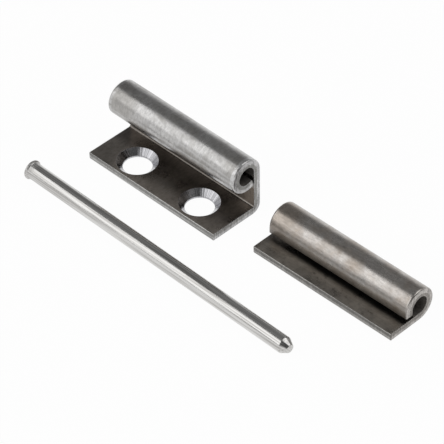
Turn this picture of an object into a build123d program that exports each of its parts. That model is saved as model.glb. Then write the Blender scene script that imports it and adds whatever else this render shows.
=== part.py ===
from build123d import *
from math import asin, cos, degrees, radians, sin, tan
import os

# Weld-on and screw-on hinge with a loose pin, taken apart and laid out on a bench.
# The three pieces are a screw leaf, a plain leaf and the pin that joins them.
# Millimetres. X runs along the screw leaf's barrel and Z is up from the bench.
# The origin is midway between the two screw holes, on the underside of the leaf.

# Strip and barrel sizes, shared by both leaves
sheet = 2.0                  # thickness of the steel strip
screw_leaf_length = 40.0     # along the hinge axis
plain_leaf_length = 40.8
pin_diameter = 4.0
bore_clearance = 0.6         # the rolled bore is wider than the pin by this much
edge_break = 0.2             # chamfer that tumbling leaves on the sheared edges

# Screw leaf: flat plate, upright web, barrel rolled back over the plate
screw_leaf_width = 14.9      # free edge of the plate to the outer face of the web
axis_height = 12.3           # underside of the plate to the hinge axis
fold_radius = 0.5            # inside radius of the fold between plate and web
curl_rise = 15.0             # degrees, slope of the lip where it closes on the web
curl_gap = 0.1               # lip of the curl to the inner face of the web
screw_lip_round = 0.4        # corner of the lip, drawn over by the shear

# Screw holes
hole_pitch = 20.0
hole_edge = 5.6              # free edge of the plate to the line of holes
hole_diameter = 6.8
countersink_diameter = 9.6
countersink_angle = 90.0

# Plain leaf: flat plate, barrel rolled up from its back edge
plain_leaf_width = 13.5      # free edge of the plate to the far side of the barrel
lip_gap = 1.0                # end of the curl to the top of the plate
plain_lip_round = 0.7        # inner corner of the lip, drawn over by the shear

# Pin: a headed straight pin with a cone point
pin_reach = 0.8              # the tip stands out of the two barrels by this much
head_catch = 0.1             # the head is wider than the bore by this much, so it stops there
flare_length = 0.4           # hollow flare from the shank up to the head
rim_length = 0.4
rim_round = 0.2
cone_length = 1.75
tip_diameter = 2.0
tip_round = 0.15

# Where the loose pieces lie: place on the bench and turn about the upright
plain_leaf_place = (28.88, -2.06)
plain_leaf_turn = 0.83
pin_tip_place = (57.32, -19.63)
pin_turn = -0.46

# Sizes that follow
half_sheet = sheet / 2
bore_radius = (pin_diameter + bore_clearance) / 2
barrel_radius = bore_radius + sheet
curl_centre_radius = bore_radius + half_sheet
web_middle = screw_leaf_width - hole_edge - half_sheet
countersink_depth = (countersink_diameter - hole_diameter) / 2 / tan(radians(countersink_angle / 2))
head_diameter = pin_diameter + bore_clearance + head_catch
pin_length_under_head = screw_leaf_length + plain_leaf_length + pin_reach
pin_length = pin_length_under_head + rim_length


def rolled_strip(centre_line, lip_corner, lip_round, length):
    """Sheet of even thickness that follows a centre line, with its sheared edges broken."""
    profile = trace(centre_line, sheet)
    lip = profile.vertices().sort_by_distance(lip_corner)[0]
    profile = fillet(lip, lip_round)
    free_edge = profile.vertices().sort_by_distance(centre_line @ 0)[:2]
    profile = chamfer(free_edge, edge_break)
    strip = extrude(Plane.YZ * profile, length)
    ends = strip.faces().sort_by(Axis.X)
    return chamfer(ends[0].edges() + ends[-1].edges(), edge_break)


def screw_leaf_line():
    """Plate, fold, web, curl and lip of the screw leaf, as one centre line."""
    fold_centre_radius = fold_radius + half_sheet
    rise = radians(curl_rise)
    lip_run = (bore_radius - curl_gap - barrel_radius * sin(rise)) / cos(rise)
    plate = Line((-hole_edge, half_sheet), (web_middle - fold_centre_radius, half_sheet))
    fold = JernArc(plate @ 1, plate % 1, fold_centre_radius, 90)
    web = Line(fold @ 1, (web_middle, axis_height))
    curl = JernArc(web @ 1, web % 1, curl_centre_radius, 270 + curl_rise)
    lip = Line(curl @ 1, curl @ 1 + (curl % 1) * lip_run)
    return plate + fold + web + curl + lip


def screw_hole(x):
    """Through hole with a countersink for a flat-headed screw."""
    through = Cylinder(hole_diameter / 2, sheet, align=(Align.CENTER, Align.CENTER, Align.MIN))
    sink = Cone(hole_diameter / 2, countersink_diameter / 2, countersink_depth)
    return Pos(x, 0, 0) * (through + Pos(0, 0, sheet - countersink_depth / 2) * sink)


def make_screw_leaf():
    line = screw_leaf_line()
    under_corner = line @ 1 + (line % 1).rotate(Axis.Z, -90) * half_sheet
    leaf = rolled_strip(line, under_corner, screw_lip_round, screw_leaf_length)
    leaf = Pos(-screw_leaf_length / 2, 0, 0) * leaf
    return leaf - screw_hole(-hole_pitch / 2) - screw_hole(hole_pitch / 2)


def make_plain_leaf():
    plate = Line((0, half_sheet), (plain_leaf_width - barrel_radius, half_sheet))
    curl = JernArc(plate @ 1, plate % 1, curl_centre_radius, 270)
    lip = Line(curl @ 1, curl @ 1 + (curl % 1) * (bore_radius - lip_gap))
    line = plate + curl + lip
    inner_corner = line @ 1 + (line % 1).rotate(Axis.Z, 90) * half_sheet
    leaf = rolled_strip(line, inner_corner, plain_lip_round, plain_leaf_length)
    return Pos(*plain_leaf_place, 0) * Rot(0, 0, plain_leaf_turn) * leaf


def pin_profile():
    """Half section of the pin from its tip at X = 0 back to its head, radius along Y."""
    shank_radius = pin_diameter / 2
    head_radius = head_diameter / 2
    flare_start = -pin_length_under_head + flare_length
    point = Line((0, tip_diameter / 2), (-cone_length, shank_radius))
    shank = Line(point @ 1, (flare_start, shank_radius))
    flare = TangentArc(shank @ 1, (-pin_length_under_head, head_radius), tangent=shank % 1)
    rim = Polyline(flare @ 1, (-pin_length, head_radius), (-pin_length, 0), (0, 0), point @ 0)
    profile = make_face(point + shank + flare + rim)
    profile = fillet(profile.vertices().sort_by_distance((-pin_length, head_radius))[0], rim_round)
    return fillet(profile.vertices().sort_by_distance((0, tip_diameter / 2))[0], tip_round)


def make_hinge_pin():
    """The pin lies on its head rim and on the start of its cone, so it tilts a little."""
    head_step = (head_diameter - pin_diameter) / 2
    bearing_span = pin_length_under_head - cone_length
    tilt = asin(head_step / bearing_span)
    axis_at_tip = pin_diameter / 2 * cos(tilt) - cone_length * sin(tilt)
    pin = revolve(pin_profile(), Axis.X)
    return Pos(*pin_tip_place, axis_at_tip) * Rot(0, degrees(tilt), pin_turn) * pin


pieces = {
    "screw_leaf": make_screw_leaf(),
    "plain_leaf": make_plain_leaf(),
    "hinge_pin": make_hinge_pin(),
}
os.makedirs("parts", exist_ok=True)
for name, piece in pieces.items():
    export_step(piece, f"parts/{name}.step")
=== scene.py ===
from math import atan, cos, pi, radians, sin
from typing import NamedTuple

import bmesh
import bpy
from bpy.props import FloatProperty, FloatVectorProperty, PointerProperty
from mathutils import Matrix, Vector


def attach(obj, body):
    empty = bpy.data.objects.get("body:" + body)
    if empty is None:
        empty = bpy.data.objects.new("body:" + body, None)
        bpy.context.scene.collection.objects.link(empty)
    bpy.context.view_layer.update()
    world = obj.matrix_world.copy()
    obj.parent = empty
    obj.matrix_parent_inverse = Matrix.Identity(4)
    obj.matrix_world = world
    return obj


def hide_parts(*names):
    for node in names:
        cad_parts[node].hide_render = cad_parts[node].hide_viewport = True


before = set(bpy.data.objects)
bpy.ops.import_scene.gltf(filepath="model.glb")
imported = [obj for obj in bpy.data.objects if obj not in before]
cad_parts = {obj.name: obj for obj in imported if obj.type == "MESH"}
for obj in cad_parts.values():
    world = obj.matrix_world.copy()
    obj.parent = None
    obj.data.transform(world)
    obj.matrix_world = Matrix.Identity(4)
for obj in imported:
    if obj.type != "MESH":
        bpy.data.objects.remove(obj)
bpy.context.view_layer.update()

# Loose pin hinge, taken apart: a leaf for screws, a leaf for welding and the pin.
# Lengths in the settings are in metres, as Blender holds them. MM turns millimetres into them.

bl_info = {
    "name": "Loose pin hinge",
    "version": (1, 0, 0),
    "blender": (4, 5, 0),
    "location": "View3D > Sidebar > Hinge",
    "description": "Builds a rolled steel hinge with a loose pin, laid out in three pieces",
    "category": "Object",
}

MM = 0.001

# Facets of the folded, rolled and turned shapes
FOLD_FACET = radians(7.5)
CURL_FACET = radians(3.75)
HOLE_FACETS = 72
PIN_FACETS = 96

# Each lamp's name, its direction from the hinge, and the size of its face in metres
LAMP_DISTANCE = 0.8
LAMPS = (
    ("soft_box", (-0.383, -0.69, 0.614), (0.67, 1.1)),
    ("top_light", (0.357, 0.411, 0.839), (0.72, 0.72)),
)


def linear(hex_colour):
    """Linear RGB of an sRGB colour written as six hex digits."""
    parts = [int(hex_colour[i:i + 2], 16) / 255 for i in (0, 2, 4)]
    return [c / 12.92 if c <= 0.04045 else ((c + 0.055) / 1.055) ** 2.4 for c in parts]


def length(name, description, millimetres):
    """A length that the user may change, written in millimetres."""
    return FloatProperty(name=name, description=description, default=millimetres * MM,
                         min=0.0, unit="LENGTH", precision=5)


def turn(name, description, angle):
    """An angle that the user may change, written in degrees."""
    return FloatProperty(name=name, description=description, default=radians(angle), unit="ROTATION")


def colour(name, description, hex_colour):
    """A colour that the user may change, written as an sRGB hex value."""
    return FloatVectorProperty(name=name, description=description, default=linear(hex_colour),
                               size=3, min=0.0, max=1.0, subtype="COLOR")


class HingeSizes(bpy.types.PropertyGroup):
    """Sizes of the strip, the leaves and the pin."""
    sheet: length("Sheet", "Thickness of the steel strip", 2.0)
    bore: length("Bore", "Radius inside the rolled barrels", 2.3)
    outer_break: length("Outer break", "Rounding dragged by the shear over the outer side", 0.45)
    inner_break: length("Inner break", "Rounding of the crisp inner side of the strip", 0.13)


class ScrewLeafSizes(bpy.types.PropertyGroup):
    """Sizes of the leaf with the screw holes."""
    length: length("Length", "Along the barrel", 40.0)
    width: length("Width", "Free edge to the outer face of the web", 14.9)
    axis_height: length("Axis height", "Underside to the middle of the barrel", 12.3)
    fold_radius: length("Fold radius", "Inside radius between plate and web", 0.5)
    curl_rise: turn("Curl rise", "Slope of the lip where it closes on the web", 15.0)
    curl_gap: length("Curl gap", "Lip to the inner face of the web", 0.1)
    lip_round: length("Lip round", "Rounding under the lip", 0.4)
    hole_pitch: length("Hole pitch", "Distance between the screw holes", 20.0)
    hole_edge: length("Hole edge", "Free edge to the line of holes", 5.6)
    hole_radius: length("Hole radius", "Radius of the screw holes", 3.4)
    sink_radius: length("Countersink radius", "Radius of the countersinks at the top of the plate", 4.8)


class PlainLeafSizes(bpy.types.PropertyGroup):
    """Sizes and place of the leaf without holes."""
    length: length("Length", "Along the barrel", 40.8)
    width: length("Width", "Free edge to the far side of the barrel", 13.5)
    lip_gap: length("Lip gap", "End of the curl to the top of the plate", 1.0)
    lip_round: length("Lip round", "Rounding that the shear drags over the inside of the lip", 1.2)
    place: FloatVectorProperty(name="Place", description="Free corner on the bench", size=3,
                               default=(28.88 * MM, -2.06 * MM, 0.0), subtype="TRANSLATION")
    turn: turn("Turn", "Turn about the upright", 0.83)


class PinSizes(bpy.types.PropertyGroup):
    """Sizes and place of the headed pin."""
    radius: length("Radius", "Radius of the shank", 2.0)
    under_head: length("Length under head", "Tip to the underside of the head", 81.6)
    head_radius: length("Head radius", "Radius of the head's rim", 2.35)
    rim: length("Rim", "Thickness of the head's rim", 0.4)
    rim_round: length("Rim round", "Rounding of the head's end", 0.2)
    flare: length("Flare", "Length of the hollow flare under the head", 0.4)
    cone: length("Cone", "Length of the cone point", 1.75)
    tip_radius: length("Tip radius", "Radius of the flat tip", 1.0)
    tip_round: length("Tip round", "Rounding of the flat tip", 0.15)
    cone_round: length("Cone round", "Rounding where the cone starts", 0.1)
    tip_place: FloatVectorProperty(name="Tip place", description="Place of the tip on the bench",
                                   size=3, default=(57.32 * MM, -19.63 * MM, 0.0), subtype="TRANSLATION")
    turn: turn("Turn", "Turn about the upright", -0.46)


class SteelColours(bpy.types.PropertyGroup):
    """Colours of the three pieces and their cut surfaces."""
    strip: colour("Strip", "Screw leaf where the curling die has burnished it", "B8B7B6")
    strip_stain: colour("Strip stain", "Where dried oil has dulled the burnished strip", "9F9D9A")
    strip_plate: colour("Strip plate", "Duller rolled surface of the screw leaf's plate", "88827C")
    # the rim colour is a painted highlight on the barrel's rims, and also the colour of the barrel's
    # scratches
    strip_rim_highlight_and_scratches: colour("Strip rim", "Rims of the screw leaf's barrel, brightened by tumbling", "CCCCCC")
    weld_strip: colour("Weld strip", "Plain leaf where the curling die has burnished it", "B5B1AD")
    weld_stain: colour("Weld stain", "Warm blotches on the plain leaf", "9F968D")
    # the rim colour is a painted highlight on the barrel's rims, and also the colour of the barrel's
    # scratches
    weld_rim_highlight_and_scratches: colour("Weld rim", "Rims of the plain leaf's barrel, brightened by tumbling", "B8B3AE")
    weld_plate: colour("Weld plate", "Duller rolled surface of the plain leaf's plate", "9B958D")
    sheared: colour("Sheared end", "Burnished part of the screw leaf's cut ends", "B0AFAF")
    fracture: colour("Fractured end", "Torn part of those ends", "969592")
    front: colour("Sheared front", "Burnished part of the screw leaf's front edge", "989795")
    front_fracture: colour("Fractured front", "Torn part of that edge", "7F7E7C")
    weld_sheared: colour("Weld sheared end", "Burnished part of the plain leaf's cut ends", "ACA8A4")
    weld_fracture: colour("Weld fractured end", "Torn part of those ends", "8F8B86")
    weld_front: colour("Weld sheared front", "Burnished part of the plain leaf's front edge", "8D8B88")
    weld_front_fracture: colour("Weld fractured front", "Torn part of that edge", "73716E")
    countersunk: colour("Countersunk", "Freshly cut countersink", "B8B8BB")
    pin: colour("Pin", "Bright drawn wire", "D1D0CE")
    pin_line: colour("Pin lines", "Drawing lines along the wire", "A8A6A3")


class StudioSettings(bpy.types.PropertyGroup):
    """Camera, table, lamps and room."""
    azimuth: turn("Azimuth", "Camera's turn about the upright", 45.6345)
    elevation: turn("Elevation", "Camera's height above the horizon", 41.9501)
    roll: turn("Roll", "Camera's tilt about its own line of sight", -0.8244)
    distance: length("Distance", "Camera to the point it looks at", 761.6841)
    aim: FloatVectorProperty(name="Aim", description="Point on the bench that the camera looks at",
                             size=3, default=(16.7389 * MM, 0.3102 * MM, 0.0), subtype="TRANSLATION")
    lens: FloatProperty(name="Lens", description="Focal length in millimetres",
                        default=277.6356, min=1.0)
    table: colour("Table", "White table top", "F4F4F4")
    lamps: FloatProperty(name="Lamps", description="Brightness of each lamp's face", default=1.27)
    room: FloatProperty(name="Room", description="Brightness of the room above the table", default=0.21)


SETTINGS = {
    "hinge_sizes": HingeSizes,
    "hinge_screw_leaf": ScrewLeafSizes,
    "hinge_plain_leaf": PlainLeafSizes,
    "hinge_pin": PinSizes,
    "hinge_colours": SteelColours,
    "hinge_studio": StudioSettings,
}


def node(tree, kind, inputs=None, **settings):
    """Adds a node, sets its settings, and links or sets its inputs by name or number."""
    made = tree.nodes.new(kind)
    for name, value in settings.items():
        setattr(made, name, value)
    for name, value in (inputs or {}).items():
        if isinstance(value, bpy.types.NodeSocket):
            tree.links.new(value, made.inputs[name])
        else:
            made.inputs[name].default_value = value
    return made


def new_material(name):
    """An empty material and its node tree."""
    material = bpy.data.materials.new(name)
    material.use_nodes = True
    material.node_tree.nodes.clear()
    return material, material.node_tree


def rgba(rgb):
    return (*rgb, 1.0)


def per_mm(size):
    """Texture scale whose features are that many millimetres across."""
    return 1 / (size * MM)


class LeafFrame(NamedTuple):
    """Where a leaf lies, how it is worn, and where painted shade and highlights fall on it. Places are
    its own: X from its middle, Z up.
    """
    middle: Vector         # its middle on the bench
    turn: float            # its turn about the upright
    half_length: float     # middle to each end
    axis: Vector           # middle of the barrel's section
    shade_middle: Vector           # middle of the painted shade under the barrel, in section
    shade_reach: tuple      # how far from there the painted shade is full, and where it ends
    shade_end: float        # place along X where the painted shade begins to fade
    shade_tone: float       # share of the steel's light that the painted shade leaves
    lower_tone: float      # the same for the painted shade on the barrel's lower half
    fleck_tone: float      # the same for the flecks on the plate
    stain: tuple           # middle of the wide stain at the far end
    rim_width: float       # width of the bright rims of the barrel
    marks: tuple           # width of the painted highlights on the barrel's rims


def rolled_steel(name, clean, dull, plate, rim, leaf):
    """Cold rolled mild steel strip, bare and oiled.

    The curling die burnishes the barrel, so it mirrors the room softly, and the plate
    keeps the duller skin of the rolls. Oil dries in blotches a few millimetres wide.
    Painted shade darkens the steel under the barrel and the barrel's lower half, the
    web is painted lighter than the plate, and a painted highlight brightens the
    barrel's rims. The bore stays matt and dark.
    """
    material, tree = new_material(name)
    world_place = node(tree, "ShaderNodeTexCoord").outputs["Object"]
    place = node(tree, "ShaderNodeMapping", {
        "Vector": world_place, "Location": leaf.middle, "Rotation": (0.0, 0.0, leaf.turn)},
        vector_type="TEXTURE").outputs["Vector"]
    section = node(tree, "ShaderNodeVectorMath", {0: place, 1: (0.0, 1.0, 1.0)}, operation="MULTIPLY")
    from_axis = node(tree, "ShaderNodeVectorMath", {
        0: section.outputs["Vector"], 1: leaf.axis}, operation="DISTANCE").outputs["Value"]
    from_shade = node(tree, "ShaderNodeVectorMath", {
        0: section.outputs["Vector"], 1: leaf.shade_middle}, operation="DISTANCE").outputs["Value"]
    from_stain = node(tree, "ShaderNodeVectorMath", {
        0: place, 1: leaf.stain}, operation="DISTANCE").outputs["Value"]
    split = node(tree, "ShaderNodeSeparateXYZ", {"Vector": place})
    along, height = split.outputs["X"], split.outputs["Z"]
    from_middle = node(tree, "ShaderNodeMath", {0: along}, operation="ABSOLUTE").outputs["Value"]

    # the die touches only the outer side of the barrel
    outside_bore = node(tree, "ShaderNodeMapRange", {
        "Value": from_axis, "From Min": 3.3 * MM, "From Max": 3.9 * MM})
    off_barrel = node(tree, "ShaderNodeMapRange", {
        "Value": from_axis, "From Min": 4.5 * MM, "From Max": 5.6 * MM, "To Min": 1.0, "To Max": 0.0})
    burnished = node(tree, "ShaderNodeMath", {
        0: outside_bore.outputs["Result"], 1: off_barrel.outputs["Result"]}, operation="MULTIPLY")

    # blotches of dried oil, 5 mm wide, and one wide stain at the far end
    blotches = node(tree, "ShaderNodeTexNoise", {
        "Vector": place, "Scale": per_mm(5.0), "Detail": 5.0, "Roughness": 0.6})
    stained = node(tree, "ShaderNodeMapRange", {
        "Value": blotches.outputs["Fac"], "From Min": 0.42, "From Max": 0.66})
    far_stain = node(tree, "ShaderNodeMapRange", {
        "Value": from_stain, "From Min": 4.0 * MM, "From Max": 7.0 * MM, "To Min": 0.9, "To Max": 0.0})
    stains = node(tree, "ShaderNodeMath", {
        0: stained.outputs["Result"], 1: far_stain.outputs["Result"]}, operation="MAXIMUM")
    barrel_tone = node(tree, "ShaderNodeMix", {
        0: stains.outputs["Value"], 6: rgba(clean), 7: rgba(dull)}, data_type="RGBA")

    # painted light makes the web lighter than the plate, and the plate has smudges and flecks 1.2 mm
    # wide
    painted_web_light = node(tree, "ShaderNodeMapRange", {
        "Value": height, "From Min": 2.2 * MM, "From Max": 3.2 * MM, "To Min": 1.0, "To Max": 1.6})
    smudges = node(tree, "ShaderNodeMapRange", {
        "Value": blotches.outputs["Fac"], "From Min": 0.35, "From Max": 0.65,
        "To Min": 0.86, "To Max": 1.14})
    pits = node(tree, "ShaderNodeTexNoise", {
        "Vector": place, "Scale": per_mm(1.2), "Detail": 2.0, "Roughness": 0.5})
    flecks = node(tree, "ShaderNodeMapRange", {
        "Value": pits.outputs["Fac"], "From Min": 0.3, "From Max": 0.42,
        "To Min": leaf.fleck_tone, "To Max": 1.0})
    smudges_and_web_light = node(tree, "ShaderNodeMath", {
        0: painted_web_light.outputs["Result"], 1: smudges.outputs["Result"]}, operation="MULTIPLY")
    plate_light = node(tree, "ShaderNodeMath", {
        0: smudges_and_web_light.outputs["Value"], 1: flecks.outputs["Result"]}, operation="MULTIPLY")
    flat_tone = node(tree, "ShaderNodeMix", {
        0: 1.0, 6: rgba(plate), 7: plate_light.outputs["Value"]},
        data_type="RGBA", blend_type="MULTIPLY")
    base = node(tree, "ShaderNodeMix", {
        0: burnished.outputs["Value"], 6: flat_tone.outputs[2], 7: barrel_tone.outputs[2]},
        data_type="RGBA")

    # real rolling marks are about 0.05 mm apart and the skin's grain 0.1 mm wide, drawn at
    # 0.35 mm and 0.9 mm so that they show
    marks_place = node(tree, "ShaderNodeMapping", {
        "Vector": place, "Rotation": (0.0, 0.0, 0.12), "Scale": leaf.marks})
    marks = node(tree, "ShaderNodeTexNoise", {
        "Vector": marks_place.outputs["Vector"], "Scale": per_mm(0.35),
        "Detail": 4.0, "Roughness": 0.65})
    grain = node(tree, "ShaderNodeTexNoise", {
        "Vector": place, "Scale": per_mm(0.9), "Detail": 5.0, "Roughness": 0.75})
    mottle = node(tree, "ShaderNodeMath", {
        0: marks.outputs["Fac"], 1: grain.outputs["Fac"]}, operation="ADD")
    speckle = node(tree, "ShaderNodeMapRange", {
        "Value": mottle.outputs["Value"], "From Min": 0.7, "From Max": 1.3,
        "To Min": 0.75, "To Max": 1.25})
    speckle_share = node(tree, "ShaderNodeMapRange", {
        "Value": burnished.outputs["Value"], "To Min": 0.9, "To Max": 1.0})
    toned = node(tree, "ShaderNodeMix", {
        0: speckle_share.outputs["Result"], 6: base.outputs[2], 7: speckle.outputs["Result"]},
        data_type="RGBA", blend_type="MULTIPLY")

    # long scratches a few millimetres apart, drawn 0.15 mm wide so that they show
    scratch_place = node(tree, "ShaderNodeMapping", {
        "Vector": place, "Rotation": (0.5, 0.1, 0.35), "Scale": (0.08, 1.0, 1.0)})
    scratch_cells = node(tree, "ShaderNodeTexVoronoi", {
        "Vector": scratch_place.outputs["Vector"], "Scale": per_mm(3.5)}, feature="DISTANCE_TO_EDGE")
    scratches = node(tree, "ShaderNodeMapRange", {
        "Value": scratch_cells.outputs["Distance"], "From Min": 0.01, "From Max": 0.035,
        "To Min": 1.0, "To Max": 0.0})
    few = node(tree, "ShaderNodeMapRange", {
        "Value": blotches.outputs["Fac"], "From Min": 0.46, "From Max": 0.54, "To Max": 0.35})
    few_scratches = node(tree, "ShaderNodeMath", {
        0: scratches.outputs["Result"], 1: few.outputs["Result"]}, operation="MULTIPLY")
    scratch_share = node(tree, "ShaderNodeMath", {
        0: few_scratches.outputs["Value"], 1: burnished.outputs["Value"]}, operation="MULTIPLY")
    scratched = node(tree, "ShaderNodeMix", {
        0: scratch_share.outputs["Value"], 6: toned.outputs[2], 7: rgba(rim)}, data_type="RGBA")

    # a painted highlight on the rim at each end of the barrel, broken up by the grain and painted
    # fainter at the far end
    far_to_near = node(tree, "ShaderNodeMapRange", {
        "Value": along, "From Min": -leaf.half_length, "From Max": leaf.half_length,
        "To Min": 0.5, "To Max": 1.0})
    near_end = node(tree, "ShaderNodeMapRange", {
        "Value": from_middle, "From Min": leaf.half_length - leaf.rim_width - 0.15 * MM,
        "From Max": leaf.half_length - leaf.rim_width + 0.1 * MM})
    patchy = node(tree, "ShaderNodeMapRange", {
        "Value": grain.outputs["Fac"], "From Min": 0.4, "From Max": 0.52,
        "To Max": far_to_near.outputs["Result"]})
    rim_place = node(tree, "ShaderNodeMath", {
        0: near_end.outputs["Result"], 1: burnished.outputs["Value"]}, operation="MULTIPLY")
    rim_share = node(tree, "ShaderNodeMath", {
        0: rim_place.outputs["Value"], 1: patchy.outputs["Result"]}, operation="MULTIPLY")
    rimmed = node(tree, "ShaderNodeMix", {
        0: rim_share.outputs["Value"], 6: scratched.outputs[2], 7: rgba(rim)}, data_type="RGBA")

    # painted shade: the barrel's lower half is darker up to a ragged line, and the steel under the
    # barrel is darker still, less so towards an open end
    lower_tone = node(tree, "ShaderNodeMapRange", {
        "Value": burnished.outputs["Value"], "To Min": 1.0, "To Max": leaf.lower_tone})
    ragged = node(tree, "ShaderNodeMath", {
        0: blotches.outputs["Fac"], 1: 3.0 * MM, 2: from_shade}, operation="MULTIPLY_ADD")
    lower_half = node(tree, "ShaderNodeMapRange", {
        "Value": ragged.outputs["Value"], "From Min": 5.0 * MM, "From Max": 5.5 * MM,
        "To Min": lower_tone.outputs["Result"], "To Max": 1.0})
    open_end = node(tree, "ShaderNodeMapRange", {
        "Value": along, "From Min": leaf.shade_end, "From Max": leaf.shade_end + 3.5 * MM,
        "To Min": leaf.shade_tone, "To Max": 1.0})
    unshaded_share = node(tree, "ShaderNodeMapRange", {
        "Value": from_shade, "From Min": leaf.shade_reach[0], "From Max": leaf.shade_reach[1],
        "To Min": open_end.outputs["Result"], "To Max": 1.0})
    light_left = node(tree, "ShaderNodeMath", {
        0: lower_half.outputs["Result"], 1: unshaded_share.outputs["Result"]}, operation="MULTIPLY")
    shaded = node(tree, "ShaderNodeMix", {
        0: 1.0, 6: rimmed.outputs[2], 7: light_left.outputs["Value"]},
        data_type="RGBA", blend_type="MULTIPLY")

    # the bore was never touched by the die and keeps a matt, dirty skin
    matt = node(tree, "ShaderNodeMapRange", {
        "Value": from_axis, "From Min": 2.5 * MM, "From Max": 3.1 * MM, "To Min": 0.9, "To Max": 0.0})
    bare = node(tree, "ShaderNodeMapRange", {
        "Value": from_axis, "From Min": 2.5 * MM, "From Max": 2.9 * MM})
    bore_tone = node(tree, "ShaderNodeMapRange", {
        "Value": bare.outputs["Result"], "To Min": 0.25, "To Max": 1.0})
    finished = node(tree, "ShaderNodeMix", {
        0: 1.0, 6: shaded.outputs[2], 7: bore_tone.outputs["Result"]},
        data_type="RGBA", blend_type="MULTIPLY")
    dulled = node(tree, "ShaderNodeMapRange", {
        "Value": blotches.outputs["Fac"], "From Min": 0.3, "From Max": 0.7,
        "To Min": 0.24, "To Max": 0.36})
    rough = node(tree, "ShaderNodeMath", {
        0: matt.outputs["Result"], 1: dulled.outputs["Result"]}, operation="MAXIMUM")

    # waves 7 mm wide left by the curling die, the marks, and the shear's rollover at the ends
    waves = node(tree, "ShaderNodeTexNoise", {"Vector": place, "Scale": per_mm(7.0), "Detail": 1.0})
    wavy = node(tree, "ShaderNodeBump", {
        "Height": waves.outputs["Fac"], "Strength": 0.5, "Distance": 0.08 * MM})
    relief = node(tree, "ShaderNodeBump", {
        "Height": mottle.outputs["Value"], "Strength": 0.3, "Distance": 0.02 * MM,
        "Normal": wavy.outputs["Normal"]})
    fall = node(tree, "ShaderNodeMapRange", {
        "Value": from_middle, "From Min": leaf.half_length - 1.1 * MM, "From Max": leaf.half_length})
    rollover = node(tree, "ShaderNodeMath", {0: fall.outputs["Result"], 1: 2.0}, operation="POWER")
    drawn_over = node(tree, "ShaderNodeBump", {
        "Height": rollover.outputs["Value"], "Strength": 1.0, "Distance": 0.09 * MM,
        "Normal": relief.outputs["Normal"]}, invert=True)
    shader = node(tree, "ShaderNodeBsdfPrincipled", {
        "Base Color": finished.outputs[2], "Metallic": bare.outputs["Result"],
        "Roughness": rough.outputs["Value"], "Normal": drawn_over.outputs["Normal"]})
    node(tree, "ShaderNodeOutputMaterial", {"Surface": shader.outputs["BSDF"]})
    return material


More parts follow.
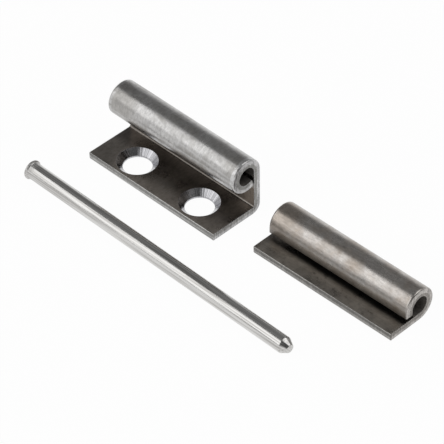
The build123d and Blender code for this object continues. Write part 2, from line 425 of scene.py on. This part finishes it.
def sheared_steel(name, burnished, torn, ridged, low_tone):
    """Sheared edge of mild steel strip.

    The inner half of the cut is torn and dull, and the blade burnishes the outer half
    and drags fine lines through it. Ridged edges also show the blade's steps, as lines
    that run along the strip. Low tone is the share of light that painted shade leaves
    near the bench.
    """
    material, tree = new_material(name)
    place = node(tree, "ShaderNodeTexCoord").outputs["Object"]
    depth = node(tree, "ShaderNodeAttribute", attribute_name="depth").outputs["Fac"]
    # real drag lines and torn specks are about 0.1 mm apart, drawn at 0.4 mm so that they show
    lines_place = node(tree, "ShaderNodeMapping", {"Vector": place, "Scale": (1.0, 1.0, 0.15)})
    lines = node(tree, "ShaderNodeTexNoise", {
        "Vector": lines_place.outputs["Vector"], "Scale": per_mm(0.4),
        "Detail": 3.0, "Roughness": 0.6})
    speckle = node(tree, "ShaderNodeTexNoise", {
        "Vector": place, "Scale": per_mm(0.4), "Detail": 4.0, "Roughness": 0.8})
    both = node(tree, "ShaderNodeMath", {
        0: lines.outputs["Fac"], 1: speckle.outputs["Fac"]}, operation="ADD")
    # the crisp inner corner gets the burnished colour as a painted highlight, then come the torn part
    # and the burnished part
    wander = node(tree, "ShaderNodeMath", {
        0: both.outputs["Value"], 1: 0.3, 2: depth}, operation="MULTIPLY_ADD")
    cut_share = node(tree, "ShaderNodeMapRange", {
        "Value": wander.outputs["Value"], "From Min": 0.7, "From Max": 0.78})
    corner = node(tree, "ShaderNodeMapRange", {
        "Value": depth, "From Max": 0.12, "To Min": 1.0, "To Max": 0.0})
    bright_share = node(tree, "ShaderNodeMath", {
        0: cut_share.outputs["Result"], 1: corner.outputs["Result"]}, operation="MAXIMUM")
    base = node(tree, "ShaderNodeMix", {
        0: bright_share.outputs["Value"], 6: rgba(torn), 7: rgba(burnished)}, data_type="RGBA")
    # five steps through the sheet, which wander over 60 mm of length
    steps = node(tree, "ShaderNodeCombineXYZ", {"X": depth})
    steps_place = node(tree, "ShaderNodeVectorMath", {
        0: place, 1: (per_mm(60.0),) * 3, 2: steps.outputs["Vector"]}, operation="MULTIPLY_ADD")
    ridges = node(tree, "ShaderNodeTexNoise", {
        "Vector": steps_place.outputs["Vector"], "Scale": 5.0, "Detail": 1.0})
    pattern = node(tree, "ShaderNodeMath", {
        0: ridges.outputs["Fac"], 1: ridged, 2: both.outputs["Value"]}, operation="MULTIPLY_ADD")
    middle, spread = 1 + ridged / 2, 0.25 + ridged / 4
    streaks = node(tree, "ShaderNodeMapRange", {
        "Value": pattern.outputs["Value"], "From Min": middle - spread, "From Max": middle + spread,
        "To Min": 0.5, "To Max": 1.5})
    # painted highlight: the crisp corner glints in pieces on a ridged edge
    broken_corner = node(tree, "ShaderNodeMath", {
        0: corner.outputs["Result"], 1: both.outputs["Value"]}, operation="MULTIPLY")
    glint = node(tree, "ShaderNodeMath", {
        0: broken_corner.outputs["Value"], 1: 0.35 * ridged, 2: 1.0}, operation="MULTIPLY_ADD")
    height = node(tree, "ShaderNodeSeparateXYZ", {"Vector": place}).outputs["Z"]
    # painted shade: the cut gets darker towards the bench, down to low tone
    low_shade = node(tree, "ShaderNodeMapRange", {
        "Value": height, "From Min": 2.0 * MM, "From Max": 8.0 * MM,
        "To Min": low_tone, "To Max": 1.0})
    glinting = node(tree, "ShaderNodeMath", {
        0: streaks.outputs["Result"], 1: glint.outputs["Value"]}, operation="MULTIPLY")
    light = node(tree, "ShaderNodeMath", {
        0: glinting.outputs["Value"], 1: low_shade.outputs["Result"]}, operation="MULTIPLY")
    streaked = node(tree, "ShaderNodeMix", {
        0: 1.0, 6: base.outputs[2], 7: light.outputs["Value"]},
        data_type="RGBA", blend_type="MULTIPLY")
    rough = node(tree, "ShaderNodeMapRange", {
        "Value": cut_share.outputs["Result"], "To Min": 0.5, "To Max": 0.34})
    relief = node(tree, "ShaderNodeBump", {
        "Height": both.outputs["Value"], "Strength": 0.5, "Distance": 0.04 * MM})
    shader = node(tree, "ShaderNodeBsdfPrincipled", {
        "Base Color": streaked.outputs[2], "Metallic": 1.0, "Roughness": rough.outputs["Result"],
        "Normal": relief.outputs["Normal"]})
    node(tree, "ShaderNodeOutputMaterial", {"Surface": shader.outputs["BSDF"]})
    return material


def countersunk_steel(name, cut, hole_pitch):
    """Countersink cut into mild steel with a chattering tool.

    The clean metal is brighter than the strip, and chatter leaves marks that run
    down the cone towards the hole.
    """
    material, tree = new_material(name)
    place = node(tree, "ShaderNodeTexCoord").outputs["Object"]
    # both holes stand the same distance from the middle, so one folded pattern serves them
    folded = node(tree, "ShaderNodeVectorMath", {0: place}, operation="ABSOLUTE")
    split = node(tree, "ShaderNodeSeparateXYZ", {"Vector": folded.outputs["Vector"]})
    side = node(tree, "ShaderNodeSeparateXYZ", {"Vector": place})
    across = node(tree, "ShaderNodeMath", {
        0: split.outputs["X"], 1: hole_pitch / 2}, operation="SUBTRACT")
    angle = node(tree, "ShaderNodeMath", {
        0: side.outputs["Y"], 1: across.outputs["Value"]}, operation="ARCTAN2")
    # about one chatter mark for each 8 degrees
    ring = node(tree, "ShaderNodeCombineXYZ", {"X": angle.outputs["Value"], "Y": side.outputs["X"]})
    chatter = node(tree, "ShaderNodeTexNoise", {
        "Vector": ring.outputs["Vector"], "Scale": 14.0, "Detail": 3.0, "Roughness": 0.7})
    marks = node(tree, "ShaderNodeMapRange", {
        "Value": chatter.outputs["Fac"], "From Min": 0.35, "From Max": 0.65,
        "To Min": 0.5, "To Max": 1.25})
    base = node(tree, "ShaderNodeMix", {
        0: 1.0, 6: rgba(cut), 7: marks.outputs["Result"]}, data_type="RGBA", blend_type="MULTIPLY")
    relief = node(tree, "ShaderNodeBump", {
        "Height": chatter.outputs["Fac"], "Strength": 0.5, "Distance": 0.12 * MM})
    shader = node(tree, "ShaderNodeBsdfPrincipled", {
        "Base Color": base.outputs[2], "Metallic": 1.0, "Roughness": 0.11,
        "Normal": relief.outputs["Normal"]})
    node(tree, "ShaderNodeOutputMaterial", {"Surface": shader.outputs["BSDF"]})
    return material


def drawn_steel(name, bright, line, head):
    """Bright drawn steel wire.

    The die leaves a smooth, pale skin with faint lines along the wire, so it mirrors
    the room in clear bands. Handling varies its gloss in patches 2.5 mm wide, and
    upsetting the head leaves that end duller.
    """
    material, tree = new_material(name)
    place = node(tree, "ShaderNodeTexCoord").outputs["Object"]
    # real drawing lines are about 0.02 mm apart, drawn 0.3 mm wide and 20 mm long so that they show
    lines_place = node(tree, "ShaderNodeMapping", {"Vector": place, "Scale": (0.015, 1.0, 1.0)})
    lines = node(tree, "ShaderNodeTexNoise", {
        "Vector": lines_place.outputs["Vector"], "Scale": per_mm(0.3), "Detail": 3.0})
    patches = node(tree, "ShaderNodeTexNoise", {
        "Vector": place, "Scale": per_mm(2.5), "Detail": 2.0, "Roughness": 0.5})
    toning = node(tree, "ShaderNodeMapRange", {
        "Value": lines.outputs["Fac"], "From Min": 0.35, "From Max": 0.6})
    base = node(tree, "ShaderNodeMix", {
        0: toning.outputs["Result"], 6: rgba(line), 7: rgba(bright)}, data_type="RGBA")
    skin = node(tree, "ShaderNodeMapRange", {
        "Value": patches.outputs["Fac"], "From Min": 0.3, "From Max": 0.7,
        "To Min": 0.16, "To Max": 0.23})
    from_head = node(tree, "ShaderNodeVectorMath", {0: place, 1: head}, operation="DISTANCE")
    upset = node(tree, "ShaderNodeMapRange", {
        "Value": from_head.outputs["Value"], "From Min": 2.4 * MM, "From Max": 4.0 * MM,
        "To Min": 0.42, "To Max": 0.0})
    rough = node(tree, "ShaderNodeMath", {
        0: skin.outputs["Result"], 1: upset.outputs["Result"]}, operation="MAXIMUM")
    relief = node(tree, "ShaderNodeBump", {
        "Height": lines.outputs["Fac"], "Strength": 0.05, "Distance": 0.01 * MM})
    shader = node(tree, "ShaderNodeBsdfPrincipled", {
        "Base Color": base.outputs[2], "Metallic": 1.0, "Roughness": rough.outputs["Value"],
        "Normal": relief.outputs["Normal"]})
    node(tree, "ShaderNodeOutputMaterial", {"Surface": shader.outputs["BSDF"]})
    return material


def white_table(name, rgb):
    """Matt white table top, of painted board.

    The steel mirrors it as plain white. The camera sees it as nearly plain white, with
    a small share of its real lit surface, which keeps a soft shadow.
    """
    material, tree = new_material(name)
    path = node(tree, "ShaderNodeLightPath")
    mirrored = node(tree, "ShaderNodeMath", {
        0: path.outputs["Is Glossy Ray"], 1: path.outputs["Is Transmission Ray"]}, operation="MAXIMUM")
    seen = node(tree, "ShaderNodeMath", {
        0: path.outputs["Is Camera Ray"], 1: 0.97}, operation="MULTIPLY")
    share = node(tree, "ShaderNodeMath", {
        0: seen.outputs["Value"], 1: mirrored.outputs["Value"]}, operation="MAXIMUM")
    lit = node(tree, "ShaderNodeBsdfDiffuse", {"Color": rgba(rgb)})
    plain = node(tree, "ShaderNodeEmission", {"Color": (1.0, 1.0, 1.0, 1.0), "Strength": 1.0})
    mixed = node(tree, "ShaderNodeMixShader", {
        0: share.outputs["Value"], 1: lit.outputs["BSDF"], 2: plain.outputs["Emission"]})
    node(tree, "ShaderNodeOutputMaterial", {"Surface": mixed.outputs["Shader"]})
    return material


def last_edge(geometry):
    return next(g for g in geometry if isinstance(g, bmesh.types.BMEdge))


def run_sheet(bm, end, travel):
    """Carries the sheet straight on from its end edge, and returns the new end."""
    made = bmesh.ops.extrude_edge_only(bm, edges=[end])["geom"]
    moved = [g for g in made if isinstance(g, bmesh.types.BMVert)]
    bmesh.ops.translate(bm, verts=moved, vec=travel)
    return next(g for g in made if isinstance(g, bmesh.types.BMEdge) and set(g.verts) == set(moved))


def bend_sheet(bm, end, centre, angle, facet):
    """Rolls the sheet on round a centre, and returns the new end."""
    made = bmesh.ops.spin(bm, geom=[end, *end.verts], cent=centre, axis=(1, 0, 0),
                          angle=angle, steps=round(angle / facet))
    return last_edge(made["geom_last"])


def start_sheet(bm, y, thickness):
    """End edge of a sheet that lies on the bench. Depth is 0 on its inner side and 1 below."""
    depth = bm.verts.layers.float.new("depth")
    low = bm.verts.new((0, y, 0))
    high = bm.verts.new((0, y, thickness))
    low[depth] = 1.0
    return bm.edges.new((low, high))


def widen_sheet(bm, x_length):
    """Makes the section into a solid along X, centred on X = 0."""
    made = bmesh.ops.extrude_face_region(bm, geom=bm.faces[:])["geom"]
    far = [g for g in made if isinstance(g, bmesh.types.BMVert)]
    bmesh.ops.translate(bm, verts=far, vec=(x_length, 0, 0))
    bmesh.ops.translate(bm, verts=bm.verts[:], vec=(-x_length / 2, 0, 0))
    bmesh.ops.recalc_face_normals(bm, faces=bm.faces[:])


def is_end_cap(face):
    return abs(face.normal.x) > 0.99


def weigh_edges(bm, outer_break, inner_break, lip_corners):
    """Gives each sheared edge the share of the widest rounding that it gets.

    Each of the lip's corners is its place in the section and the rounding there.
    """
    crease = radians(40)
    same_place = 0.01 * MM
    widest = max(outer_break, inner_break, *(width for place, width in lip_corners))
    depth = bm.verts.layers.float["depth"]
    weight = bm.edges.layers.float.new("bevel_weight_edge")
    for edge in bm.edges:
        if edge.calc_face_angle(0) < crease:
            continue
        is_outer = all(v[depth] == 1.0 for v in edge.verts)
        width = outer_break if is_outer else inner_break
        if not any(is_end_cap(f) for f in edge.link_faces):
            for place, lip_width in lip_corners:
                if (edge.verts[0].co.yz - place).length < same_place:
                    width = lip_width
        edge[weight] = width / widest
    return widest


def add_mesh_object(name, bm):
    """Turns a bmesh into an object in the scene."""
    mesh = bpy.data.meshes.new(name)
    bm.to_mesh(mesh)
    bm.free()
    made = bpy.data.objects.new(name, mesh)
    bpy.context.scene.collection.objects.link(made)
    return made


def apply_modifiers(piece):
    """Puts the result of a piece's modifiers in its own mesh."""
    graph = bpy.context.evaluated_depsgraph_get()
    finished = bpy.data.meshes.new_from_object(piece.evaluated_get(graph))
    old = piece.data
    piece.modifiers.clear()
    piece.data = finished
    bpy.data.meshes.remove(old)
    finished.name = piece.name


def shade_piece(piece, sharp_angle=32.0):
    """Smooth shading with crisp corners, held flat on the large faces."""
    piece.data.shade_smooth()
    piece.data.set_sharp_from_angle(angle=radians(sharp_angle))
    flatten = piece.modifiers.new("Flat faces", "WEIGHTED_NORMAL")
    flatten.keep_sharp = True
    apply_modifiers(piece)


def round_edges(piece, width):
    """Rounds each sheared edge by its own share of this width."""
    rounding = piece.modifiers.new("Rounded edges", "BEVEL")
    rounding.width = width
    rounding.segments = 4
    rounding.limit_method = "WEIGHT"
    rounding.use_clamp_overlap = False


def hole_cutter(sizes, sheet):
    """Turned cutter for both screw holes, with a countersink and broken edges."""
    bm = bmesh.new()
    r, top_r = sizes.hole_radius, sizes.sink_radius
    sink_z = sheet - (top_r - r)
    past_plate = 0.5 * MM
    lower_break = 0.25 * MM
    foot_break = 0.05 * MM
    rim_break = 0.08 * MM
    profile = [
        (0.0, -past_plate), (r + lower_break, -past_plate), (r + lower_break, -0.05 * MM),
        (r, 0.2 * MM), (r, sink_z - foot_break), (r + foot_break, sink_z + foot_break),
        (top_r - 0.06 * MM, sheet - 0.06 * MM), (top_r + rim_break, sheet + 0.01 * MM),
        (top_r + rim_break, sheet + past_plate), (0.0, sheet + past_plate),
    ]
    points = [bm.verts.new((x, 0, z)) for x, z in profile]
    line = [bm.edges.new(pair) for pair in zip(points, points[1:])]
    bmesh.ops.spin(bm, geom=points + line, cent=(0, 0, 0), axis=(0, 0, 1),
                   angle=2 * pi, steps=HOLE_FACETS, use_merge=True)
    bmesh.ops.remove_doubles(bm, verts=bm.verts[:], dist=0.001 * MM)
    bmesh.ops.translate(bm, verts=bm.verts[:], vec=(-sizes.hole_pitch / 2, 0, 0))
    copied = bmesh.ops.duplicate(bm, geom=bm.verts[:] + bm.edges[:] + bm.faces[:])["geom"]
    second = [g for g in copied if isinstance(g, bmesh.types.BMVert)]
    bmesh.ops.translate(bm, verts=second, vec=(sizes.hole_pitch, 0, 0))
    bmesh.ops.recalc_face_normals(bm, faces=bm.faces[:])
    return add_mesh_object("hole_cutter", bm)


def cut_holes(piece, cutter):
    cut = piece.modifiers.new("Screw holes", "BOOLEAN")
    cut.object = cutter
    cut.operation = "DIFFERENCE"
    cut.solver = "EXACT"


def finish_leaf(piece, materials, half_length, free_edge_y, inner_break, is_hole=lambda polygon: False):
    """Gives the strip, its sheared ends and front, and its holes their materials, in that order.

    The crisp rounding of a sheared face belongs to it.
    """
    cut_end, front, hole = 1, 2, 3
    for material in materials:
        piece.data.materials.append(material)
    for polygon in piece.data.polygons:
        if is_hole(polygon):
            polygon.material_index = hole
        elif abs(polygon.center.x) > half_length - inner_break:
            polygon.material_index = cut_end
        elif polygon.center.y < free_edge_y + inner_break:
            polygon.material_index = front


def place_piece(piece, node_name):
    """Lets a finished piece stand for its CAD node."""
    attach(piece, "root")
    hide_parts(node_name)


class HINGE_OT_screw_leaf(bpy.types.Operator):
    """Add the leaf with a web and two countersunk screw holes"""
    bl_idname = "hinge.screw_leaf"
    bl_label = "Screw leaf"

    def execute(self, context):
        scene = context.scene
        strip, leaf, colours = scene.hinge_sizes, scene.hinge_screw_leaf, scene.hinge_colours
        half = strip.sheet / 2
        outer = strip.bore + strip.sheet
        web_y = leaf.width - leaf.hole_edge - half
        fold = leaf.fold_radius + half
        axis = Vector((0, web_y - strip.bore - half, leaf.axis_height))
        lip_run = (strip.bore - leaf.curl_gap - outer * sin(leaf.curl_rise)) / cos(leaf.curl_rise)
        bm = bmesh.new()
        end = start_sheet(bm, -leaf.hole_edge, strip.sheet)
        end = run_sheet(bm, end, (0, web_y - fold + leaf.hole_edge, 0))
        end = bend_sheet(bm, end, (0, web_y - fold, half + fold), pi / 2, FOLD_FACET)
        end = run_sheet(bm, end, (0, 0, leaf.axis_height - half - fold))
        end = bend_sheet(bm, end, axis, 1.5 * pi + leaf.curl_rise, CURL_FACET)
        heading = Vector((0, cos(leaf.curl_rise), sin(leaf.curl_rise)))
        end = run_sheet(bm, end, heading * lip_run)
        under_lip = min(end.verts, key=lambda v: v.co.z).co.yz
        widen_sheet(bm, leaf.length)
        lip_corners = [(under_lip, leaf.lip_round)]
        widest = weigh_edges(bm, strip.outer_break, strip.inner_break, lip_corners)
        piece = add_mesh_object("rolled_screw_leaf", bm)
        round_edges(piece, widest)
        cutter = hole_cutter(leaf, strip.sheet)
        cut_holes(piece, cutter)
        apply_modifiers(piece)
        bpy.data.objects.remove(cutter)
        reach = leaf.sink_radius + 0.1 * MM

        def is_hole(polygon):
            x = abs(polygon.center.x) - leaf.hole_pitch / 2
            return Vector((x, polygon.center.y)).length < reach and abs(polygon.normal.z) < 0.9

        shade_piece(piece)
        # the painted shade lies between the web and the holes, and marks run round this barrel
        worn = LeafFrame(
            middle=Vector((0, 0, 0)), turn=0.0, half_length=leaf.length / 2, axis=axis,
            shade_middle=Vector((0, web_y - half - 2.3 * MM, strip.sheet + 1.2 * MM)),
            shade_reach=(1.6 * MM, 3.6 * MM), shade_end=14.0 * MM, shade_tone=0.5,
            lower_tone=1.0, fleck_tone=0.92,
            stain=(-17.5 * MM, 1.5 * MM, 14.8 * MM), rim_width=1.1 * MM, marks=(1.0, 0.22, 0.22))
        materials = [
            rolled_steel("cold_rolled_strip", colours.strip, colours.strip_stain,
                         colours.strip_plate, colours.strip_rim_highlight_and_scratches, worn),
            sheared_steel("sheared_strip_end", colours.sheared, colours.fracture,
                          ridged=0.0, low_tone=0.8),
            sheared_steel("sheared_strip_front", colours.front, colours.front_fracture,
                          ridged=1.8, low_tone=1.0),
            countersunk_steel("countersunk_steel", colours.countersunk, leaf.hole_pitch),
        ]
        finish_leaf(piece, materials, leaf.length / 2, -leaf.hole_edge, strip.inner_break, is_hole)
        place_piece(piece, "screw_leaf")
        return {"FINISHED"}


class HINGE_OT_plain_leaf(bpy.types.Operator):
    """Add the flat leaf with a barrel on its back edge"""
    bl_idname = "hinge.plain_leaf"
    bl_label = "Plain leaf"

    def execute(self, context):
        scene = context.scene
        strip, leaf, colours = scene.hinge_sizes, scene.hinge_plain_leaf, scene.hinge_colours
        outer = strip.bore + strip.sheet
        bm = bmesh.new()
        end = start_sheet(bm, 0, strip.sheet)
        end = run_sheet(bm, end, (0, leaf.width - outer, 0))
        end = bend_sheet(bm, end, (0, leaf.width - outer, outer), 1.5 * pi, CURL_FACET)
        end = run_sheet(bm, end, (0, 0, leaf.lip_gap - strip.bore))
        outside_lip, inside_lip = (v.co.yz for v in sorted(end.verts, key=lambda v: v.co.y))
        widen_sheet(bm, leaf.length)
        lip_corners = [(inside_lip, leaf.lip_round), (outside_lip, strip.inner_break)]
        widest = weigh_edges(bm, strip.outer_break, strip.inner_break, lip_corners)
        piece = add_mesh_object("rolled_plain_leaf", bm)
        round_edges(piece, widest)
        apply_modifiers(piece)
        shade_piece(piece)
        to_middle = Vector((leaf.length / 2, 0, 0))
        middle = Vector(leaf.place) + Matrix.Rotation(leaf.turn, 3, "Z") @ to_middle
        axis = Vector((0, leaf.width - outer, outer))
        # the painted shade lies in the nip and never fades, and marks run along this barrel
        worn = LeafFrame(
            middle=middle, turn=leaf.turn, half_length=leaf.length / 2, axis=axis,
            shade_middle=axis - Vector((0, 4.0 * MM, 1.9 * MM)), shade_reach=(1.0 * MM, 2.4 * MM),
            shade_end=leaf.length, shade_tone=0.55,
            lower_tone=0.68, fleck_tone=0.68,
            stain=(-19.0 * MM, 7.0 * MM, 8.0 * MM), rim_width=0.6 * MM, marks=(0.22, 1.0, 1.0))
        materials = [
            rolled_steel("cold_rolled_weld_strip", colours.weld_strip, colours.weld_stain,
                         colours.weld_plate, colours.weld_rim_highlight_and_scratches, worn),
            sheared_steel("sheared_weld_strip_end", colours.weld_sheared, colours.weld_fracture,
                          ridged=0.0, low_tone=0.8),
            sheared_steel("sheared_weld_strip_front", colours.weld_front, colours.weld_front_fracture,
                          ridged=1.8, low_tone=1.0),
        ]
        finish_leaf(piece, materials, leaf.length / 2, 0.0, strip.inner_break)
        piece.data.transform(Matrix.Translation(middle) @ Matrix.Rotation(leaf.turn, 4, "Z"))
        place_piece(piece, "plain_leaf")
        return {"FINISHED"}


class HINGE_OT_pin(bpy.types.Operator):
    """Add the headed pin with a cone point"""
    bl_idname = "hinge.pin"
    bl_label = "Hinge pin"

    def execute(self, context):
        scene = context.scene
        pin, colours = scene.hinge_pin, scene.hinge_colours
        step = pin.head_radius - pin.radius
        bm = bmesh.new()
        tip = bm.verts.new((0, 0, 0))
        tip_edge = bm.verts.new((0, 0, pin.tip_radius))
        cone_start = bm.verts.new((-pin.cone, 0, pin.radius))
        flare_start = bm.verts.new((-pin.under_head + pin.flare, 0, pin.radius))
        neck = [bm.verts.new((-pin.under_head + pin.flare * (1 - t), 0, pin.radius + step * t * t))
                for t in (0.25, 0.5, 0.75, 1.0)]
        rim = bm.verts.new((-pin.under_head - pin.rim, 0, pin.head_radius))
        middle = bm.verts.new((-pin.under_head - pin.rim, 0, 0))
        points = [tip, tip_edge, cone_start, flare_start, *neck, rim, middle]
        line = [bm.edges.new(pair) for pair in zip(points, points[1:])]
        for corner, width, segments in (
                (rim, pin.rim_round, 4), (tip_edge, pin.tip_round, 4), (cone_start, pin.cone_round, 2)):
            bmesh.ops.bevel(bm, geom=[corner], offset=width, segments=segments, profile=0.5,
                            affect="VERTICES", material=-1)
        bmesh.ops.spin(bm, geom=bm.verts[:] + bm.edges[:], cent=(0, 0, 0), axis=(1, 0, 0),
                       angle=2 * pi, steps=PIN_FACETS, use_merge=True)
        bmesh.ops.remove_doubles(bm, verts=bm.verts[:], dist=0.001 * MM)
        bmesh.ops.recalc_face_normals(bm, faces=bm.faces[:])
        piece = add_mesh_object("drawn_hinge_pin", bm)
        shade_piece(piece)
        # the pin lies on its head's rim and on the start of its cone
        tilt = atan(step / (pin.under_head - pin.cone))
        height = pin.radius * cos(tilt) - pin.cone * sin(tilt)
        lean = Matrix.Rotation(pin.turn, 4, "Z") @ Matrix.Rotation(tilt, 4, "Y")
        place = Matrix.Translation(Vector(pin.tip_place) + Vector((0, 0, height)))
        piece.data.transform(place @ lean)
        head = place @ lean @ Vector((-pin.under_head - pin.rim, 0, 0))
        wire = drawn_steel("bright_drawn_wire", colours.pin, colours.pin_line, head)
        piece.data.materials.append(wire)
        place_piece(piece, "hinge_pin")
        return {"FINISHED"}


def add_lamp(name, direction, size, brightness):
    """Wide soft lamp that faces the hinge. Brightness is that of its face."""
    lamp = bpy.data.lights.new(name, "AREA")
    lamp.shape = "RECTANGLE"
    lamp.size, lamp.size_y = size
    lamp.energy = brightness * pi * size[0] * size[1]
    made = bpy.data.objects.new(name, lamp)
    away = Vector(direction).normalized()
    made.location = away * LAMP_DISTANCE
    made.rotation_mode = "QUATERNION"
    made.rotation_quaternion = away.to_track_quat("Z", "X")
    made.visible_camera = False
    bpy.context.scene.collection.objects.link(made)


def add_room(brightness):
    """Room that is white where it meets the table and fades above to two greys, left and right."""
    world = bpy.data.worlds.new("studio_room")
    bpy.context.scene.world = world
    world.use_nodes = True
    tree = world.node_tree
    tree.nodes.clear()
    direction = node(tree, "ShaderNodeTexCoord").outputs["Generated"]
    split = node(tree, "ShaderNodeSeparateXYZ", {"Vector": direction})
    above = node(tree, "ShaderNodeMapRange", {
        "Value": split.outputs["X"], "From Min": -0.5, "From Max": 0.5,
        "To Min": brightness, "To Max": brightness / 2})
    level = node(tree, "ShaderNodeMapRange", {
        "Value": split.outputs["Z"], "From Min": 0.02, "From Max": 0.4, "To Min": 1.0,
        "To Max": above.outputs["Result"]})
    shade = node(tree, "ShaderNodeBackground", {
        "Color": (1.0, 1.0, 1.0, 1.0), "Strength": level.outputs["Result"]})
    node(tree, "ShaderNodeOutputWorld", {"Surface": shade.outputs["Background"]})


def add_camera(studio):
    """Camera at the photograph's angle."""
    az, el, roll = studio.azimuth, studio.elevation, studio.roll
    back = Vector((sin(az) * cos(el), -cos(az) * cos(el), sin(el)))
    right = Vector((cos(az), sin(az), 0))
    up = back.cross(right)
    rolled_right = right * cos(roll) + up * sin(roll)
    rolled_up = up * cos(roll) - right * sin(roll)
    camera = bpy.data.objects.new("camera", bpy.data.cameras.new("camera"))
    camera.data.lens = studio.lens
    camera.data.clip_end = 10.0
    place = Vector(studio.aim) + back * studio.distance
    turned = Matrix((rolled_right, rolled_up, back)).transposed().to_4x4()
    camera.matrix_world = Matrix.Translation(place) @ turned
    bpy.context.scene.collection.objects.link(camera)
    bpy.context.scene.camera = camera


class HINGE_OT_studio(bpy.types.Operator):
    """Add the white table, the lamps, the room and the camera"""
    bl_idname = "hinge.studio"
    bl_label = "Studio"

    def execute(self, context):
        studio = context.scene.hinge_studio
        bm = bmesh.new()
        bmesh.ops.create_grid(bm, x_segments=1, y_segments=1, size=2.0)
        table = add_mesh_object("table", bm)
        table.data.materials.append(white_table("white_table", studio.table))
        for name, direction, size in LAMPS:
            add_lamp(name, direction, size, studio.lamps)
        add_room(studio.room)
        add_camera(studio)
        context.scene.view_settings.view_transform = "Standard"
        return {"FINISHED"}


class VIEW3D_PT_hinge(bpy.types.Panel):
    """Lists the hinge's pieces and their settings"""
    bl_label = "Loose pin hinge"
    bl_space_type = "VIEW_3D"
    bl_region_type = "UI"
    bl_category = "Hinge"

    def draw(self, context):
        for operator in OPERATORS:
            self.layout.operator(operator.bl_idname)
        for name, group in SETTINGS.items():
            box = self.layout.box()
            box.label(text=group.__doc__)
            for field in group.__annotations__:
                box.prop(getattr(context.scene, name), field)


OPERATORS = (HINGE_OT_screw_leaf, HINGE_OT_plain_leaf, HINGE_OT_pin, HINGE_OT_studio)


def register():
    for cls in (*SETTINGS.values(), *OPERATORS, VIEW3D_PT_hinge):
        bpy.utils.register_class(cls)
    for name, group in SETTINGS.items():
        setattr(bpy.types.Scene, name, PointerProperty(type=group))


def unregister():
    for name in SETTINGS:
        delattr(bpy.types.Scene, name)
    for cls in (VIEW3D_PT_hinge, *OPERATORS, *SETTINGS.values()):
        bpy.utils.unregister_class(cls)


def main():
    register()
    bpy.ops.hinge.screw_leaf()
    bpy.ops.hinge.plain_leaf()
    bpy.ops.hinge.pin()
    bpy.ops.hinge.studio()


if __name__ == "__main__":
    main()
